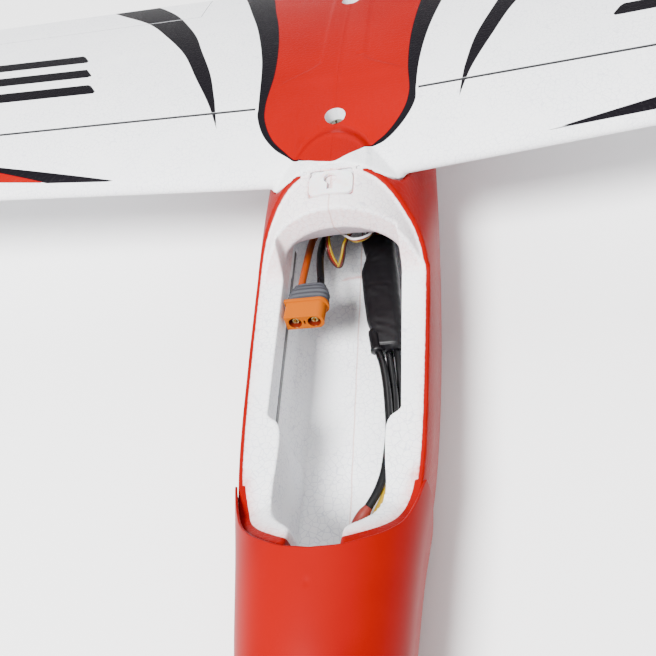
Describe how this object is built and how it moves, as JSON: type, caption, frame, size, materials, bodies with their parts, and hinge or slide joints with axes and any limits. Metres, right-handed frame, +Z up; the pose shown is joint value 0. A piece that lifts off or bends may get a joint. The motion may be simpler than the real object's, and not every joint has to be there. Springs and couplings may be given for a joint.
{
  "type": "rc glider",
  "caption": "Foam model glider with a nose motor and folding propeller; the lift-off canopy lies beside the open nose bay, showing its wiring.",
  "frame": {"origin": "middle of the whole model, hatch included, on the surface that the belly stands on", "axes": "+X to the port (left) wing tip, -Y towards the nose, +Z up"},
  "size_m": [1.4, 0.99, 0.208],
  "materials": {
    "foam": "moulded bead foam, satin",
    "red_paint": "gloss",
    "canopy_black": "gloss",
    "carbon": "satin",
    "steel": "bright",
    "alloy": "anodised",
    "ply": "bare",
    "white_plastic": "moulded",
    "servo_case": "moulded",
    "heat_shrink": "semi-gloss sleeve",
    "charcoal_plastic": "moulded",
    "orange_plastic": "moulded",
    "grey_rubber": "matte",
    "wire_red": "silicone",
    "wire_black": "silicone",
    "ribbon_lead": "three wires side by side"
  },
  "bodies": {
    "airframe": {"fuselage_left": "foam", "fuselage_right": "foam", "nose_cowl": "red_paint", "wing_left": "foam", "wing_right": "foam", "wing_spar_left": "carbon", "wing_spar_right": "carbon", "wing_joiner": "carbon", "wing_screw_front": "steel", "wing_screw_rear": "steel", "wing_nut_plate": "ply", "stabilizer": "foam", "fin": "foam", "longeron_left": "carbon", "longeron_right": "carbon", "latch_plate": "white_plastic", "motor_plate": "alloy", "motor_can": "alloy", "speed_controller": "heat_shrink", "receiver": "charcoal_plastic", "battery_connector": "orange_plastic", "connector_boot": "grey_rubber", "battery_lead_positive": "wire_red", "battery_lead_negative": "wire_black", "throttle_lead": "ribbon_lead", "aileron_lead": "ribbon_lead", "motor_lead_a": "wire_black", "motor_lead_b": "wire_black", "motor_lead_c": "wire_black", "left_aileron_servo": "servo_case", "right_aileron_servo": "servo_case", "elevator_servo": "servo_case", "rudder_servo": "servo_case"},
    "canopy": {"canopy_hatch": "red_paint", "canopy_window": "canopy_black"},
    "left_aileron": {"aileron_left": "foam", "left_aileron_horn": "white_plastic"},
    "right_aileron": {"aileron_right": "foam", "right_aileron_horn": "white_plastic"},
    "elevator": {"elevator_left": "foam", "elevator_right": "foam", "elevator_joiner": "steel", "elevator_horn": "white_plastic"},
    "rudder": {"rudder": "foam", "rudder_horn": "white_plastic"},
    "propeller": {"motor_shaft": "steel", "propeller_hub": "charcoal_plastic", "spinner": "red_paint", "blade_pin_left": "steel", "blade_pin_right": "steel"},
    "blade_left": {"propeller_blade_left": "canopy_black"},
    "blade_right": {"propeller_blade_right": "canopy_black"},
    "left_aileron_servo_arm": {"left_aileron_servo_arm": "white_plastic"},
    "left_aileron_pushrod": {"left_aileron_pushrod": "steel"},
    "right_aileron_servo_arm": {"right_aileron_servo_arm": "white_plastic"},
    "right_aileron_pushrod": {"right_aileron_pushrod": "steel"},
    "elevator_servo_arm": {"elevator_servo_arm": "white_plastic"},
    "elevator_pushrod": {"elevator_pushrod": "steel"},
    "rudder_servo_arm": {"rudder_servo_arm": "white_plastic"},
    "rudder_pushrod": {"rudder_pushrod": "steel"}
  },
  "joints": [
    {"name": "left_aileron_hinge", "type": "hinge", "parent": "airframe", "child": "left_aileron", "pos_m": [0.088, -0.03256, 0.07983], "axis": [0.9973, -0.0449, 0.0584], "range_deg": [-22, 22]},
    {"name": "right_aileron_hinge", "type": "hinge", "parent": "airframe", "child": "right_aileron", "pos_m": [-0.088, -0.03256, 0.07983], "axis": [0.9973, 0.0449, -0.0584], "range_deg": [-22, 22]},
    {"name": "left_aileron_arm_turn", "type": "hinge", "parent": "airframe", "child": "left_aileron_servo_arm", "pos_m": [0.21214, -0.09814, 0.09009], "axis": [0.9973, -0.0449, 0.0584], "range_deg": [-22, 22]},
    {"name": "left_aileron_rod_pivot", "type": "hinge", "parent": "left_aileron_servo_arm", "child": "left_aileron_pushrod", "pos_m": [0.21293, -0.09884, 0.07613], "axis": [0.9973, -0.0449, 0.0584], "range_deg": [-22, 22]},
    {"name": "right_aileron_arm_turn", "type": "hinge", "parent": "airframe", "child": "right_aileron_servo_arm", "pos_m": [-0.21214, -0.09814, 0.09009], "axis": [0.9973, 0.0449, -0.0584], "range_deg": [-22, 22]},
    {"name": "right_aileron_rod_pivot", "type": "hinge", "parent": "right_aileron_servo_arm", "child": "right_aileron_pushrod", "pos_m": [-0.21293, -0.09884, 0.07613], "axis": [0.9973, 0.0449, -0.0584], "range_deg": [-22, 22]},
    {"name": "elevator_hinge", "type": "hinge", "parent": "airframe", "child": "elevator", "pos_m": [0, 0.399, 0.055], "axis": [1, 0, 0], "range_deg": [-25, 25]},
    {"name": "elevator_arm_turn", "type": "hinge", "parent": "airframe", "child": "elevator_servo_arm", "pos_m": [0.02, 0.28, 0.055], "axis": [1, 0, 0], "range_deg": [-25, 25]},
    {"name": "elevator_rod_pivot", "type": "hinge", "parent": "elevator_servo_arm", "child": "elevator_pushrod", "pos_m": [0.02, 0.28, 0.041], "axis": [1, 0, 0], "range_deg": [-25, 25]},
    {"name": "rudder_hinge", "type": "hinge", "parent": "airframe", "child": "rudder", "pos_m": [0, 0.45, 0.071], "axis": [0, 0, 1], "range_deg": [-25, 25]},
    {"name": "rudder_arm_turn", "type": "hinge", "parent": "airframe", "child": "rudder_servo_arm", "pos_m": [0, 0.238, 0.071], "axis": [0, 0, 1], "range_deg": [-25, 25]},
    {"name": "rudder_rod_pivot", "type": "hinge", "parent": "rudder_servo_arm", "child": "rudder_pushrod", "pos_m": [-0.014, 0.238, 0.071], "axis": [0, 0, 1], "range_deg": [-25, 25]},
    {"name": "propeller_spin", "type": "hinge", "parent": "airframe", "child": "propeller", "pos_m": [0, -0.45, 0.042], "axis": [0, -1, 0], "continuous": true},
    {"name": "blade_left_fold", "type": "hinge", "parent": "propeller", "child": "blade_left", "pos_m": [0.015, -0.456, 0.042], "axis": [0, 0, 1], "range_deg": [0, 65]},
    {"name": "blade_right_fold", "type": "hinge", "parent": "propeller", "child": "blade_right", "pos_m": [-0.015, -0.456, 0.042], "axis": [0, 0, -1], "range_deg": [0, 65]},
    {"name": "canopy_close", "type": "hinge", "parent": "airframe", "child": "canopy", "pos_m": [0.105, -0.27, 0.04645], "axis": [0, -1, 0], "range_deg": [0, 180]}
  ],
  "couplings": [
    {"joint": "right_aileron_hinge", "follows": "left_aileron_hinge", "ratio": -1},
    {"joint": "left_aileron_arm_turn", "follows": "left_aileron_hinge", "ratio": 1},
    {"joint": "left_aileron_rod_pivot", "follows": "left_aileron_hinge", "ratio": -1},
    {"joint": "right_aileron_arm_turn", "follows": "left_aileron_hinge", "ratio": -1},
    {"joint": "right_aileron_rod_pivot", "follows": "left_aileron_hinge", "ratio": 1},
    {"joint": "elevator_arm_turn", "follows": "elevator_hinge", "ratio": 1},
    {"joint": "elevator_rod_pivot", "follows": "elevator_hinge", "ratio": -1},
    {"joint": "rudder_arm_turn", "follows": "rudder_hinge", "ratio": 1},
    {"joint": "rudder_rod_pivot", "follows": "rudder_hinge", "ratio": -1}
  ]
}
